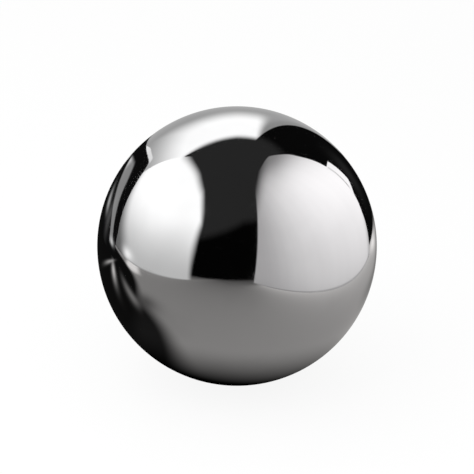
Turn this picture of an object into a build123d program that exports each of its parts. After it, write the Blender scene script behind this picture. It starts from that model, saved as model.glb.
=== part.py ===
"""A solid steel ball, forged as one piece, ground round and lapped to a mirror.

The frame has its origin at the ball's centre and +Z up. Lengths are in millimetres.
"""

from build123d import *
import os

# Driving dimension
ball_diameter = 50.0

# Worked out from it
ball_radius = ball_diameter / 2
lowest_point = (0, 0, -ball_radius)
highest_point = (0, 0, ball_radius)


def ball_profile():
    """Half of the ball's round section: an arc from pole to pole, closed along the Z axis."""
    arc = ThreePointArc(lowest_point, (ball_radius, 0, 0), highest_point)
    pole_axis = Line(highest_point, lowest_point)
    return make_face(arc + pole_axis)


def ball():
    """The profile turned through a full circle: solid all the way through, with no flat or bore."""
    return revolve(ball_profile(), Axis.Z, 360)


os.makedirs("parts", exist_ok=True)
export_step(ball(), "parts/ball.step")
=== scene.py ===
import math

import bpy
import numpy as np
from mathutils import Matrix, Vector


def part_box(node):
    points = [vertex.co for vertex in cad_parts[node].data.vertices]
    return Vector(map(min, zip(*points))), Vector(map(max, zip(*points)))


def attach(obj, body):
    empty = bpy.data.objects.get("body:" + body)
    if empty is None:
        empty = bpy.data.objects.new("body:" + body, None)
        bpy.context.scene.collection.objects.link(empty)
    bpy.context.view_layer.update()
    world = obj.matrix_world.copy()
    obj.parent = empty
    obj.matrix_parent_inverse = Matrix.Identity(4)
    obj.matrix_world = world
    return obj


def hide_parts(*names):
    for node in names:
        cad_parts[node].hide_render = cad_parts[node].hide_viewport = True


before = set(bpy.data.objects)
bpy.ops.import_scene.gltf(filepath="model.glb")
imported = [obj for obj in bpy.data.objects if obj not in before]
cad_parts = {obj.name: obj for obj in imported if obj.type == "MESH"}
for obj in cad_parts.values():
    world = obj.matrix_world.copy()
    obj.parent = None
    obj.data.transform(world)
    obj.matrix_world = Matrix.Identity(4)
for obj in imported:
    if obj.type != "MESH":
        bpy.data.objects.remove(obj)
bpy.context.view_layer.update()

scene = bpy.context.scene
scene.view_settings.view_transform = "Standard"

# Lengths are in metres. The studio is laid out in ball radii, because a mirror shows
# its surroundings by angle and not by size.
ballLow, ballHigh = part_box("ball")
ballRadius = (ballHigh[2] - ballLow[2]) / 2
print("frame loaded, ball radius", round(ballRadius * 1000, 3), "mm")


def softStep(start, end, t):
    # 0 at start and 1 at end, joined by a smooth S: 3 s^2 - 2 s^3
    s = np.clip((t - start) / (end - start), 0, 1)
    return s * s * (3 - 2 * s)


def hill(u, v, uMid, vMid, uWide, vWide):
    # a round hill 1 high: e to the minus (u offset / width)^2 - (v offset / width)^2
    return np.exp(-((u - uMid) / uWide) ** 2 - ((v - vMid) / vWide) ** 2)


def addSurface(name, points, quads):
    # points is N x 3, quads is M x 4 point numbers
    mesh = bpy.data.meshes.new(name)
    mesh.vertices.add(len(points))
    mesh.vertices.foreach_set("co", points.astype(np.float32).ravel())
    mesh.loops.add(quads.size)
    mesh.loops.foreach_set("vertex_index", quads.astype(np.int32).ravel())
    mesh.polygons.add(len(quads))
    mesh.polygons.foreach_set("loop_start", np.arange(0, quads.size, 4, dtype=np.int32))
    mesh.update(calc_edges=True)
    mesh.shade_smooth()
    thing = bpy.data.objects.new(name, mesh)
    scene.collection.objects.link(thing)
    return thing


def gridQuads(rows, columns):
    # the four corner numbers of every cell in a grid of rows x columns points
    corner = (np.arange(rows - 1)[:, None] * columns + np.arange(columns - 1)).ravel()
    return np.stack([corner, corner + 1, corner + columns + 1, corner + columns], axis=1)


# Camera

cameraPlace = {
    "elevation": 25.0,        # degrees above the table
    "distance": 20.0,         # ball radii: a long lens from well back
    "ballInFrame": 0.59,      # ball's radius on the picture over half the picture's width
    "ballBelowMiddle": 0.038,  # how far its centre sits below the middle, in the same measure
    "sensor": 36.0,           # mm
}


def makeCamera():
    data = bpy.data.cameras.new("camera")
    eye = bpy.data.objects.new("camera", data)
    scene.collection.objects.link(eye)
    climb = math.radians(cameraPlace["elevation"])
    toCamera = Vector((0, -math.cos(climb), math.sin(climb)))
    halfSensor = cameraPlace["sensor"] / 2
    # from distance d a ball of radius 1 fills a cone whose half angle has sine 1 / d
    ballTan = math.tan(math.asin(1 / cameraPlace["distance"]))
    data.sensor_width = cameraPlace["sensor"]
    data.lens = cameraPlace["ballInFrame"] * halfSensor / ballTan
    lift = math.atan(cameraPlace["ballBelowMiddle"] * halfSensor / data.lens)
    look = Matrix.Rotation(lift, 3, "X") @ -toCamera
    eye.location = toCamera * cameraPlace["distance"] * ballRadius
    eye.rotation_mode = "QUATERNION"
    eye.rotation_quaternion = look.to_track_quat("-Z", "Y")
    data.clip_start = ballRadius
    data.clip_end = ballRadius * 200
    scene.camera = eye


makeCamera()
print("camera placed")


# The ball

ballShape = {
    "cells": 96,      # cells along the edge of each of the six patches, an even number
    "uvMargin": 0.01,  # gap round each patch on the flat map, as a share of the patch
}


def patchPoints(cells):
    # Six square patches wrap the ball like the faces of a cube. On the first one, with the
    # angles a and b from -45 to 45 degrees, the point is (1, tan a, tan b) scaled to length 1.
    # The others turn the three numbers round in place, and the last three are their opposites.
    angle = np.linspace(-np.pi / 4, np.pi / 4, cells + 1)
    a, b = np.meshgrid(angle, angle, indexing="ij")
    first = np.stack([np.ones_like(a), np.tan(a), np.tan(b)], axis=-1).reshape(-1, 3)
    first /= np.linalg.norm(first, axis=1, keepdims=True)
    turned = np.concatenate([first, np.roll(first, 1, axis=1), np.roll(first, 2, axis=1)])
    return np.concatenate([turned, -turned])


def makeBall():
    cells = ballShape["cells"]
    perPatch = (cells + 1) ** 2
    points = patchPoints(cells)
    patch = gridQuads(cells + 1, cells + 1)
    quads = np.concatenate([patch + k * perPatch for k in range(6)])
    # a face that looks inwards is walked round the other way
    ring = points[quads]
    facing = np.cross(ring[:, 1] - ring[:, 0], ring[:, 3] - ring[:, 0])
    inward = (facing * ring.mean(axis=1)).sum(axis=1) < 0
    quads[inward] = quads[inward][:, ::-1]
    # flat map: the patches sit side by side in three columns and two rows
    across = np.linspace(0, 1, cells + 1)
    s, t = np.meshgrid(across, across, indexing="ij")
    inset = ballShape["uvMargin"]
    flat = np.stack([s, t], axis=-1).reshape(-1, 2) * (1 - 2 * inset) + inset
    tile = np.array([[k % 3, k // 3] for k in range(6)])
    uv = (flat[None] + tile[:, None]).reshape(-1, 2) / [3, 2]
    uvOfCorner = uv[quads.ravel()]
    # points shared by neighbouring patches become one, so the skin is closed
    key = np.round(points * 1e6).astype(np.int64)
    kept, number = np.unique(key, axis=0, return_index=True, return_inverse=True)[1:]
    ball = addSurface("polished_ball", points[kept] * ballRadius, number.ravel()[quads])
    layer = ball.data.uv_layers.new(name="OFBake")
    layer.data.foreach_set("uv", uvOfCorner.astype(np.float32).ravel())
    return ball


# Finish of the steel

steelFinish = {
    "colour": (0.572, 0.572, 0.574, 1),      # bare bearing steel, seen straight on
    "hazeColour": (0.540, 0.540, 0.542, 1),  # the same where a trace of oil film is left
    "dustColour": (0.22, 0.21, 0.20, 1),
    "roughness": 0.028,      # of the clean polish
    "hazeRoughness": 0.020,  # added by each kind of mark below
    "wipeRoughness": 0.012,
    "lapRoughness": 0.10,
    "dustRoughness": 0.3,
    "hazeSize": 14.0,        # mm
    "wipeSize": 3.5,         # mm
    "waveSize": 9.0,         # mm, slow waviness left by the lapping plates
    "waveHeight": 0.000012,  # metres
    "lapDepth": 0.0000003,   # metres
    "dustSpacing": 3.2,      # mm
    "dustRadius": 0.08,      # mm
    "pitSpacing": 1.7,       # mm
    "pitRadius": 0.06,       # mm
}

lapSets = [
    # axis the plates turned the ball about, mm between lines, mm wide at most, mm long, seed
    ((0.31, 0.22, 0.92), 1.3, 0.050, 9.0, 3.0),
    ((0.84, -0.41, 0.36), 1.7, 0.040, 7.0, 17.0),
    ((-0.47, 0.78, 0.41), 1.1, 0.030, 5.0, 41.0),
]


def newGroup(name, inputs, outputs):
    # inputs and outputs are lists of (name, socket type)
    group = bpy.data.node_groups.new(name, "ShaderNodeTree")
    for label, kind in inputs:
        group.interface.new_socket(label, in_out="INPUT", socket_type=kind)
    for label, kind in outputs:
        group.interface.new_socket(label, in_out="OUTPUT", socket_type=kind)
    return group, group.nodes.new("NodeGroupInput"), group.nodes.new("NodeGroupOutput")


def plug(tree, socket, value):
    # value is another socket to link from, or a constant
    if isinstance(value, bpy.types.NodeSocket):
        tree.links.new(value, socket)
    else:
        socket.default_value = value


def sum2(tree, operation, a, b=0.0, c=0.0):
    # a math node: "MULTIPLY_ADD" is a b + c
    node = tree.nodes.new("ShaderNodeMath")
    node.operation = operation
    for socket, value in zip(node.inputs, (a, b, c)):
        plug(tree, socket, value)
    return node.outputs[0]


def smoothRange(tree, value, fromMin, fromMax, toMin=0.0, toMax=1.0):
    # toMin to toMax by the smooth S as value goes from fromMin to fromMax
    node = tree.nodes.new("ShaderNodeMapRange")
    node.interpolation_type = "SMOOTHSTEP"
    for label, given in (("Value", value), ("From Min", fromMin), ("From Max", fromMax),
                         ("To Min", toMin), ("To Max", toMax)):
        plug(tree, node.inputs[label], given)
    return node.outputs["Result"]


def noiseOf(tree, kind, place, size, detail):
    # noise with features about size across; place is a position, or one number when kind is "1D"
    node = tree.nodes.new("ShaderNodeTexNoise")
    node.noise_dimensions = kind
    plug(tree, node.inputs["W" if kind == "1D" else "Vector"], place)
    plug(tree, node.inputs["Scale"], sum2(tree, "DIVIDE", 1.0, size))
    node.inputs["Detail"].default_value = detail
    return node.outputs["Fac"]


def lapLinesGroup():
    # Plates rub a ball along circles round one axis. The height along that axis goes into a
    # noise of one number, and a line shows where the noise crosses one half. A second noise
    # in space cuts the circles into short arcs.
    group, given, result = newGroup("lapLines", [
        ("Position", "NodeSocketVector"), ("Axis", "NodeSocketVector"), ("Spacing", "NodeSocketFloat"),
        ("Width", "NodeSocketFloat"), ("Length", "NodeSocketFloat"), ("Seed", "NodeSocketFloat"),
    ], [("Mask", "NodeSocketFloat")])
    along = group.nodes.new("ShaderNodeVectorMath")
    along.operation = "DOT_PRODUCT"
    group.links.new(given.outputs["Position"], along.inputs[0])
    group.links.new(given.outputs["Axis"], along.inputs[1])
    height = sum2(group, "ADD", along.outputs["Value"], given.outputs["Seed"])
    wave = noiseOf(group, "1D", height, given.outputs["Spacing"], 0.0)
    offLine = sum2(group, "ABSOLUTE", sum2(group, "SUBTRACT", wave, 0.5))
    # near a crossing the noise climbs by about 0.8 over one spacing
    edge = sum2(group, "MULTIPLY", sum2(group, "DIVIDE", given.outputs["Width"], given.outputs["Spacing"]), 0.4)
    line = smoothRange(group, offLine, 0.0, edge, 1.0, 0.0)
    shift = group.nodes.new("ShaderNodeVectorMath")
    shift.operation = "ADD"
    group.links.new(given.outputs["Position"], shift.inputs[0])
    group.links.new(given.outputs["Seed"], shift.inputs[1])
    patch = noiseOf(group, "3D", shift.outputs[0], given.outputs["Length"], 1.0)
    arcs = sum2(group, "MULTIPLY", line, smoothRange(group, patch, 0.52, 0.66))
    group.links.new(arcs, result.inputs["Mask"])
    return group


def softPatchesGroup():
    # noise in space, cut off softly between Low and High, so that patches stand apart
    group, given, result = newGroup("softPatches", [
        ("Position", "NodeSocketVector"), ("Size", "NodeSocketFloat"),
        ("Low", "NodeSocketFloat"), ("High", "NodeSocketFloat"),
    ], [("Mask", "NodeSocketFloat")])
    cloud = noiseOf(group, "3D", given.outputs["Position"], given.outputs["Size"], 3.0)
    patches = smoothRange(group, cloud, given.outputs["Low"], given.outputs["High"])
    group.links.new(patches, result.inputs["Mask"])
    return group


def specksGroup():
    # Points are strewn through space, one to a cell Spacing wide, and a speck shows where the
    # skin passes within Radius of one. Share is how many of the points count.
    group, given, result = newGroup("specks", [
        ("Position", "NodeSocketVector"), ("Spacing", "NodeSocketFloat"),
        ("Radius", "NodeSocketFloat"), ("Share", "NodeSocketFloat"),
    ], [("Mask", "NodeSocketFloat")])
    cells = group.nodes.new("ShaderNodeTexVoronoi")
    group.links.new(given.outputs["Position"], cells.inputs["Vector"])
    group.links.new(sum2(group, "DIVIDE", 1.0, given.outputs["Spacing"]), cells.inputs["Scale"])
    away = sum2(group, "MULTIPLY", cells.outputs["Distance"], given.outputs["Spacing"])
    disc = smoothRange(group, away, sum2(group, "MULTIPLY", given.outputs["Radius"], 0.5),
                       given.outputs["Radius"], 1.0, 0.0)
    parts = group.nodes.new("ShaderNodeSeparateColor")
    group.links.new(cells.outputs["Color"], parts.inputs["Color"])
    counts = sum2(group, "LESS_THAN", parts.outputs["Red"], given.outputs["Share"])
    group.links.new(sum2(group, "MULTIPLY", disc, counts), result.inputs["Mask"])
    return group


def useGroup(tree, group, **values):
    node = tree.nodes.new("ShaderNodeGroup")
    node.node_tree = group
    for label, value in values.items():
        plug(tree, node.inputs[label], value)
    return node.outputs["Mask"]


def blend(tree, mask, first, second):
    node = tree.nodes.new("ShaderNodeMix")
    node.data_type = "RGBA"
    for socket, value in ((node.inputs["Factor"], mask), (node.inputs[6], first), (node.inputs[7], second)):
        plug(tree, socket, value)
    return node.outputs[2]


def bumpOf(tree, height, distance, onto=None):
    node = tree.nodes.new("ShaderNodeBump")
    node.inputs["Distance"].default_value = distance
    plug(tree, node.inputs["Height"], height)
    if onto is not None:
        plug(tree, node.inputs["Normal"], onto)
    return node.outputs["Normal"]


def makeSteel():
    look = steelFinish
    steel = bpy.data.materials.new("lapped_steel")
    steel.use_nodes = True
    tree = steel.node_tree
    shader = tree.nodes["Principled BSDF"]
    where = tree.nodes.new("ShaderNodeTexCoord")
    inMillimetres = tree.nodes.new("ShaderNodeMapping")
    inMillimetres.inputs["Scale"].default_value = (1000, 1000, 1000)
    tree.links.new(where.outputs["Object"], inMillimetres.inputs["Vector"])
    position = inMillimetres.outputs["Vector"]

    softPatches, lapLines, specks = softPatchesGroup(), lapLinesGroup(), specksGroup()
    haze = useGroup(tree, softPatches, Position=position, Size=look["hazeSize"], Low=0.42, High=0.68)
    wipes = useGroup(tree, softPatches, Position=position, Size=look["wipeSize"], Low=0.40, High=0.75)
    dust = useGroup(tree, specks, Position=position, Spacing=look["dustSpacing"],
                    Radius=look["dustRadius"], Share=0.2)
    pits = useGroup(tree, specks, Position=position, Spacing=look["pitSpacing"],
                    Radius=look["pitRadius"], Share=0.2)
    laps = 0.0
    for axis, spacing, width, length, seed in lapSets:
        arcs = useGroup(tree, lapLines, Position=position, Axis=axis, Spacing=spacing,
                        Width=width, Length=length, Seed=seed)
        laps = sum2(tree, "MAXIMUM", arcs, laps)
    marks = sum2(tree, "MAXIMUM", laps, pits)

    rough = sum2(tree, "MULTIPLY_ADD", haze, look["hazeRoughness"], look["roughness"])
    rough = sum2(tree, "MULTIPLY_ADD", wipes, look["wipeRoughness"], rough)
    rough = sum2(tree, "MULTIPLY_ADD", marks, look["lapRoughness"], rough)
    rough = sum2(tree, "MULTIPLY_ADD", dust, look["dustRoughness"], rough)
    tree.links.new(rough, shader.inputs["Roughness"])
    film = blend(tree, haze, look["colour"], look["hazeColour"])
    tree.links.new(blend(tree, dust, film, look["dustColour"]), shader.inputs["Base Color"])
    # dust is not metal
    tree.links.new(sum2(tree, "MULTIPLY_ADD", dust, -0.8, 1.0), shader.inputs["Metallic"])
    waves = bumpOf(tree, noiseOf(tree, "3D", position, look["waveSize"], 0.0), look["waveHeight"])
    depth = sum2(tree, "SUBTRACT", 1.0, marks)
    tree.links.new(bumpOf(tree, depth, look["lapDepth"], waves), shader.inputs["Normal"])
    return steel


ball = makeBall()
ball.data.materials.append(makeSteel())
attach(ball, "root")
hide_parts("ball")
print("ball made,", len(ball.data.polygons) * 2, "triangles")


# Studio: cards that only the mirror sees, a painted reflection of a studio. Each is a grid whose points carry
# their own brightness, with the studio's light and shade painted in.

studio = {
    "darkRoom": 0.031,    # brightness painted on the charcoal walls and ceiling beyond the lights
    "tableTint": (1.0, 0.975, 0.96, 1),
    "rightTint": (1.0, 0.982, 0.99, 1),
    "plainTint": (1.0, 1.0, 1.0, 1),
    "tableHeight": -0.997,  # just clear of the floor
}


def cardMaterial(name, tint):
    # shines by the painted light and shade in the points' own "glow", and is clear where their "shown" is 0
    material = bpy.data.materials.new(name)
    material.use_nodes = True
    tree = material.node_tree
    tree.nodes.clear()
    glow = tree.nodes.new("ShaderNodeAttribute")
    glow.attribute_name = "glow"
    shown = tree.nodes.new("ShaderNodeAttribute")
    shown.attribute_name = "shown"
    light = tree.nodes.new("ShaderNodeEmission")
    light.inputs["Color"].default_value = tint
    clear = tree.nodes.new("ShaderNodeBsdfTransparent")
    both = tree.nodes.new("ShaderNodeMixShader")
    out = tree.nodes.new("ShaderNodeOutputMaterial")
    tree.links.new(glow.outputs["Fac"], light.inputs["Strength"])
    tree.links.new(shown.outputs["Fac"], both.inputs["Fac"])
    tree.links.new(clear.outputs[0], both.inputs[1])
    tree.links.new(light.outputs[0], both.inputs[2])
    tree.links.new(both.outputs[0], out.inputs["Surface"])
    material.cycles.emission_sampling = "NONE"
    return material


def addCard(name, x, y, z, glow, tint, shown=1.0):
    # x, y, z, glow and shown are grids of the same size; places are in ball radii
    rows, columns = glow.shape
    points = np.stack(np.broadcast_arrays(x, y, z), axis=-1).reshape(-1, 3) * ballRadius
    card = addSurface(name, points, gridQuads(rows, columns))
    for label, values in (("glow", glow), ("shown", np.broadcast_to(shown, glow.shape))):
        layer = card.data.attributes.new(label, "FLOAT", "POINT")
        layer.data.foreach_set("value", values.astype(np.float32).ravel())
    card.data.materials.append(cardMaterial(name, tint))
    card.visible_camera = False
    card.visible_diffuse = False
    card.visible_shadow = False
    return card


def unitGrid(rows, columns):
    return np.meshgrid(np.linspace(0, 1, rows), np.linspace(0, 1, columns), indexing="ij")


def mix(first, second, share):
    # first where share is 0, second where it is 1
    return first + (second - first) * share


def rightDiffuser():
    # an upright sheet at x = 2.85, all its light and shade painted: a base that fades upwards, plus a hill about
    # a hot spot low at its back end, painted light from a lamp behind it, times faint upright bands (sines of y)
    s, t = unitGrid(200, 300)
    z = -0.99 + t * 13
    front = -12.1 + 0.68 * z
    # its back edge carries a narrow white tab a little above the table
    tab = 0.62 * softStep(0.5, 0.8, z) * softStep(1.95, 1.8, z)
    back = 1.68 + 0.13 * softStep(0, 0.5, z) + 0.15 * softStep(3.4, 4.8, z) + tab
    back = back - 2.6 * softStep(7.6, 11.8, z)
    y = front - 0.5 + s * (back - front + 0.5)
    # painted shade: the base fades upwards and is darker towards the back higher up
    base = 0.62 * softStep(12.2, 6.5, z) * (1 - 0.4 * softStep(-2, 1.5, y) * softStep(3, 7, z))
    reach = 1 - y
    hotHeight = 1.6 + 0.5 * reach
    hot = 1.08 * np.exp(-reach ** 2 / 19.2 - (z - hotHeight) ** 2 / (2 * (2.2 + 0.35 * reach) ** 2))
    # painted hot spot added, and painted shade towards the foot
    glow = (base + hot) * (1 - 0.15 * np.exp(-(z + 1) / 0.6))
    glow = glow * (1 + 0.006 * np.sin(5.3 * y) + 0.004 * np.sin(13.7 * y + 1.3))
    glow = glow * (1 - 0.55 * np.exp(-((z + 0.97) / 0.035) ** 2))   # shadow line where it stands
    # painted shade low at the back end
    glow = glow * (1 - 0.45 * softStep(1.2, 1.8, y) * softStep(0.3, -0.6, z))
    # a thin painted dark line between the sheet and its tab
    glow = glow * (1 - 0.85 * np.exp(-((y - 1.84) / 0.035) ** 2) * softStep(0.6, 0.9, z) * softStep(1.95, 1.8, z))
    shown = softStep(front - 0.4, front + 0.35, y) * softStep(12.6, 10.9, z)
    addCard("right_diffuser", 2.85, y, z, glow, studio["rightTint"], shown)


def leftDiffuser():
    # an upright sheet at x = -6.5 with round corners, painted white above and greyer towards its foot, a painted
    # shade
    s, t = unitGrid(240, 300)
    z = -0.99 + t * 16
    y = -10.4 + s * 15.1
    whiteFrom = 8.5 - 5 * softStep(-8, 0, y)
    glow = 1.77 * (0.46 + 0.54 * softStep(-0.8, whiteFrom, z))
    # painted shade along its foot
    glow = glow * (1 - 0.4 * np.exp(-((z + 0.96) / 0.05) ** 2))
    glow = glow * (1 - 0.75 * softStep(-1.4, 1.2, y - 1.0 - 1.1 * (z + 0.2)))  # flag's soft shadow
    # a painted patch of light low on the sheet near its foot
    glow = glow + 0.9 * hill(y, z, 0.3, -0.65, 0.65, 0.35)
    # The outline is where outward is 1: the two distances into the corner, each over its reach,
    # to the power 1.3, added, and the root taken. The edge is softest along the top.
    lean = 2.9 * softStep(-0.8, 6, y)
    pastFront = np.clip(-4.4 - y, 0, None) / 4.5
    pastTop = np.clip(z + lean - 8.6, 0, None) / 4.4
    outward = (pastFront ** 1.3 + pastTop ** 1.3) ** (1 / 1.3)
    soft = 0.18 + 0.11 * softStep(0, 4, z) + 0.21 * softStep(8.6, 12, z + lean)
    shown = 1 - softStep(1 - soft, 1 + soft, outward)
    addCard("left_diffuser", -6.5, y, z, glow, studio["plainTint"], shown)


def backSweep():
    # grey paper hung at y = 8 that curves down onto the table, with painted light from a soft light above whose
    # lower edge rises and softens towards the left; its unlit part is painted a little darker at its right end
    s, t = unitGrid(160, 160)
    x = -13 + s * 15.75
    bend = 2.0
    run = t * 18                      # distance along the paper, from the table upwards
    arc = np.clip(run / bend, 0, np.pi / 2)
    y = 8 - bend + bend * np.sin(arc)
    z = studio["tableHeight"] + bend * (1 - np.cos(arc)) + np.clip(run - bend * np.pi / 2, 0, None)
    lightFoot = 3.6 + 0.25 * np.clip(-x, 0, 1.6) + 0.85 * np.clip(-x - 4, 0, None)
    footSoft = 2.1 + 0.5 * np.clip(-x - 2.2, 0, None)
    lightTop = 12.3 + 0.35 * np.clip(-x, 0, None)
    lightSide = 1.6 + 0.155 * (z - 4.5)
    lit = softStep(lightFoot - footSoft, lightFoot + footSoft, z)
    lit = lit * softStep(lightSide + 0.45, lightSide - 0.45, x)
    glow = mix(0.5 - 0.09 * softStep(1.8, 2.4, x), 1.72, lit)
    shown = softStep(lightTop + 1.8, lightTop - 1.6, z)
    addCard("back_sweep", x, y, z, glow, studio["plainTint"], shown)


def tableTop():
    # grey table, its light and shade all painted: it fades with distance, is lighter beside each sheet and at the
    # back and black in the contact shadow, and on the left it is near-black, painted shade and dark reflection
    # laid out as a black cloth whose folds carry painted sheen
    s, t = unitGrid(300, 720)
    far = 0.02 + 39.8 * s ** 2          # rings close together near the ball
    turn = t * 2 * np.pi
    x, y = far * np.sin(turn), -far * np.cos(turn)
    glow = 0.345 * np.exp(-far / 15.5)
    # painted light: pools beside each sheet, a rise at the back, a spot by the right sheet's back end and a strip
    # by the left sheet's foot
    glow = glow + 0.45 * np.exp(-np.abs(2.85 - x) / 0.95) * softStep(-12, -7, y)
    glow = glow + 0.21 * np.exp(-np.abs(x + 6.5) / 2.6) * np.exp(-far / 22)
    glow = glow + 0.30 * softStep(3.8, 4.9, y)
    glow = glow + 0.55 * hill(x, y, 2.6, 2.3, 0.5, 0.4)
    glow = glow + 0.75 * softStep(-4.3, -5.2, x) * softStep(-1.5, -0.8, y) * softStep(0.5, -0.1, y)
    # a painted shadow strip cast by the right flag
    glow = glow * (1 - 0.42 * np.exp(-((x - 1.5) / 0.32) ** 2) * softStep(0.2, 1.2, y))
    # painted contact shadow round the ball's foot, and painted fading far away
    contact = softStep(0.4, 1.2, np.hypot(x + 0.10, y))
    glow = glow * contact * (1 - 0.95 * softStep(18, 34, far))
    glow = glow * (1 - 0.96 * softStep(1.2, 0.75, np.hypot(x + 1.35, y)))        # cloth's shadow
    # a painted soft shadow in front of the dark patch
    glow = glow * (1 - 0.65 * hill(x, y, -2.1, -0.9, 0.5, 0.45))
    glow = glow * (1 - 0.97 * softStep(1.2, 1.7, x) * softStep(2.7, 3.3, y))     # right flag's shadow
    darkPatchReach = np.hypot((x + 3.1) / 3.0, (y - 2.0) / 2.9)
    # the patch is near-black, and each fold's painted sheen is a hill stretched along x and sloped by adding a
    # share of x to y
    darkPatchAndSheen = 0.006 + 0.75 * hill(x, y + 0.5 * x, -3.0, -0.75, 0.55, 0.15)
    darkPatchAndSheen = darkPatchAndSheen + 0.24 * hill(x, y + 0.55 * x, -2.3, -1.66, 0.75, 0.17)
    darkPatchAndSheen = darkPatchAndSheen + 0.5 * hill(x, y - 0.2 * x, -3.2, 1.87, 0.6, 0.09)
    glow = mix(darkPatchAndSheen, glow, softStep(0.9, 1.06, darkPatchReach))
    addCard("table_top", x, y, studio["tableHeight"], glow, studio["tableTint"])


def bentCard(name, turnLow, turnHigh, distance, topOf, glowOf):
    # a card bent round the ball, its top edge a function of the turn; both functions take degrees,
    # 0 towards the camera and 90 towards +X, and degrees up
    s, t = unitGrid(220, 160)
    turnDeg = turnLow + (turnHigh - turnLow) * s
    foot = math.degrees(math.atan(studio["tableHeight"] / distance))
    upDeg = foot + (topOf(turnDeg) - foot) * t
    turn = np.radians(turnDeg)
    x, y = distance * np.sin(turn), -distance * np.cos(turn)
    z = distance * np.tan(np.radians(upDeg))
    addCard(name, x, y, z, glowOf(turnDeg, upDeg), studio["plainTint"])


def leftFlag():
    # black card with a rounded top behind the left end of the table. The top falls away from its peak by a power
    # of the turn on each side. A crescent of painted sheen follows the top edge, a painted bright rim runs along
    # the top, and painted soft spots of light lie low on the card.
    peak, peakTurn = 28.0, -128.0

    def outline(turn):
        front = np.abs(np.clip(turn - peakTurn, 0, None) / 23) ** 2
        rear = np.abs(np.clip(peakTurn - turn, 0, None) / 33) ** 1.3
        return peak * (1 - front - rear)

    # height of a bright rim above the top edge, a painted highlight
    def rim(turn):
        return 2.6 * softStep(-152, -143, turn) * softStep(-125, -132, turn)

    def topOf(turn):
        return np.maximum(outline(turn) + rim(turn), -13)

    def glowOf(turn, up):
        upper = outline(turn) - 7 - 10 * softStep(-142, -120, turn)
        lower = -10 + 12 * np.sqrt(np.clip(1 - ((turn + 138) / 22) ** 2, 0, None))
        sheen = softStep(0, 2.5, upper - up) * softStep(0, 2.0, up - lower)
        strength = 0.36 + 0.6 * softStep(-142, -153, turn)
        glow = 0.006 + strength * sheen
        # painted soft spots of light low on the card
        glow = glow + 0.5 * hill(turn, up, -138.5, -5.0, 5.5, 2.4)
        glow = glow + 0.5 * hill(turn, up, -111, -7.5, 3.6, 1.4)
        glow = glow + 0.10 * hill(turn, up, -126, -3, 4, 7)
        # above the outline lies the rim, painted bright as a highlight
        return np.where(up > outline(turn), 1.25, glow)

    bentCard("left_flag", -166, -105, 4.2, topOf, glowOf)


def rightFlag():
    # tall black card standing behind the right end of the table, painted a little less black at the top where it
    # blends into the dark room, with a faint painted sheen about its middle
    def topOf(turn):
        return 62 + 0 * turn

    def glowOf(turn, up):
        glow = 0.004 + 0.02 * hill(turn, up, 138, 8, 7, 10)
        return mix(glow, studio["darkRoom"], softStep(52, 61, up))

    bentCard("right_flag", 123, 159.2, 4.0, topOf, glowOf)


def darkRoom():
    # a wide dome: charcoal, and painted blacker low down in the gaps between the lights, a painted shade
    s, t = unitGrid(181, 361)
    up = np.radians(-20 + 110 * s)
    turn = np.radians(-180 + 360 * t)    # 0 towards the camera, 90 towards +X
    wide = 40
    x, y, z = wide * np.cos(up) * np.sin(turn), -wide * np.cos(up) * np.cos(turn), wide * np.sin(up)
    turnDeg, upDeg = np.degrees(turn), np.degrees(up)
    frontLine = np.minimum(27 + 0.395 * (turnDeg + 38), 45)
    black = softStep(frontLine + 4, frontLine - 6, upDeg) * softStep(70, 50, np.abs(turnDeg))
    black = np.maximum(black, softStep(54, 44, upDeg) * softStep(110, 125, turnDeg))
    # painted shade in the gaps
    glow = studio["darkRoom"] * (1 - 0.95 * black)
    addCard("dark_room", x, y, z, glow, studio["plainTint"])


rightDiffuser()
leftDiffuser()
backSweep()
tableTop()
leftFlag()
rightFlag()
darkRoom()
print("studio cards hung")


# Floor, lamps and world, for everything but the mirror

floorLook = {
    "colour": (0.85, 0.85, 0.85, 1),
    "ownWhite": 0.9,     # share of plain white that the camera and mirrors see in it
    "whiteFrom": 4.0,    # ball radii from the ball where that share starts to grow
    "whiteAt": 16.0,     # and where the floor is as white as the backdrop
}


def seenDirectly(tree):
    # 1 on rays from the camera, from a mirror or through glass, and 0 on all others
    path = tree.nodes.new("ShaderNodeLightPath")
    direct = sum2(tree, "MAXIMUM", path.outputs["Is Camera Ray"], path.outputs["Is Glossy Ray"])
    return sum2(tree, "MAXIMUM", direct, path.outputs["Is Transmission Ray"])


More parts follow.
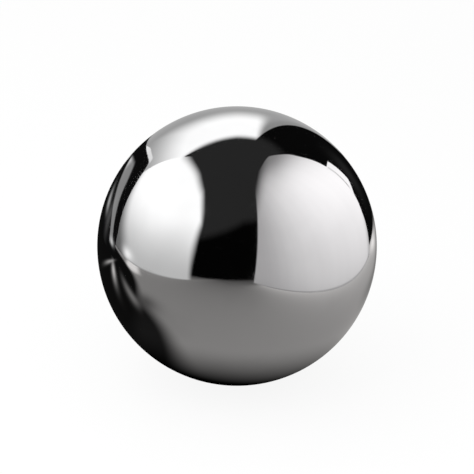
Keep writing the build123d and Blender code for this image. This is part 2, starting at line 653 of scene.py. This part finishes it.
def makeFloor():
    s, t = unitGrid(2, 2)
    wide = 60
    points = np.stack([(s - 0.5) * 2 * wide, (t - 0.5) * 2 * wide, np.full_like(s, -1)], axis=-1)
    floor = addSurface("floor", points.reshape(-1, 3) * ballRadius, gridQuads(2, 2))
    material = bpy.data.materials.new("pale_floor")
    material.use_nodes = True
    tree = material.node_tree
    tree.nodes.clear()
    matt = tree.nodes.new("ShaderNodeBsdfDiffuse")
    matt.inputs["Color"].default_value = floorLook["colour"]
    white = tree.nodes.new("ShaderNodeEmission")
    both = tree.nodes.new("ShaderNodeMixShader")
    out = tree.nodes.new("ShaderNodeOutputMaterial")
    where = tree.nodes.new("ShaderNodeTexCoord")
    away = tree.nodes.new("ShaderNodeVectorMath")
    away.operation = "LENGTH"
    tree.links.new(where.outputs["Object"], away.inputs[0])
    whiteness = smoothRange(tree, away.outputs["Value"], floorLook["whiteFrom"] * ballRadius,
                            floorLook["whiteAt"] * ballRadius, floorLook["ownWhite"], 1.0)
    share = sum2(tree, "MULTIPLY", seenDirectly(tree), whiteness)
    tree.links.new(share, both.inputs["Fac"])
    tree.links.new(matt.outputs[0], both.inputs[1])
    tree.links.new(white.outputs[0], both.inputs[2])
    tree.links.new(both.outputs[0], out.inputs["Surface"])
    floor.data.materials.append(material)


lamps = {
    # name: centre, aim, width and height in ball radii, brightness of its face (1 is white)
    "left_lamp": ((-6.5, -2, 6), (0, 0, 0), 13, 13, 1.6),
    "right_lamp": ((2.85, -3.5, 4.5), (0, -2, 0), 10, 10, 0.9),
    "back_lamp": ((-1.5, 8, 8.5), (0, 0, 0), 10, 8, 1.6),
}


def makeLamps():
    for name, (place, aim, width, height, brightness) in lamps.items():
        data = bpy.data.lights.new(name, "AREA")
        data.shape = "RECTANGLE"
        data.size, data.size_y = width * ballRadius, height * ballRadius
        # a flat lamp of area A whose face has brightness L gives pi A L watts
        data.energy = math.pi * data.size * data.size_y * brightness
        lamp = bpy.data.objects.new(name, data)
        lamp.location = Vector(place) * ballRadius
        lamp.rotation_mode = "QUATERNION"
        lamp.rotation_quaternion = (Vector(aim) - Vector(place)).to_track_quat("-Z", "Y")
        lamp.visible_camera = False
        lamp.visible_glossy = False
        scene.collection.objects.link(lamp)


worldLook = {"fill": 0.45}    # brightness of the sky on matt things; mirrors and the camera see 1


def makeWorld():
    world = bpy.data.worlds.new("world")
    scene.world = world
    world.use_nodes = True
    tree = world.node_tree
    tree.nodes.clear()
    background = tree.nodes.new("ShaderNodeBackground")
    background.inputs["Color"].default_value = (1, 1, 1, 1)
    out = tree.nodes.new("ShaderNodeOutputWorld")
    strength = sum2(tree, "MULTIPLY_ADD", seenDirectly(tree), 1 - worldLook["fill"], worldLook["fill"])
    tree.links.new(strength, background.inputs["Strength"])
    tree.links.new(background.outputs[0], out.inputs["Surface"])


makeFloor()
makeLamps()
makeWorld()
print("floor, lamps and world made")
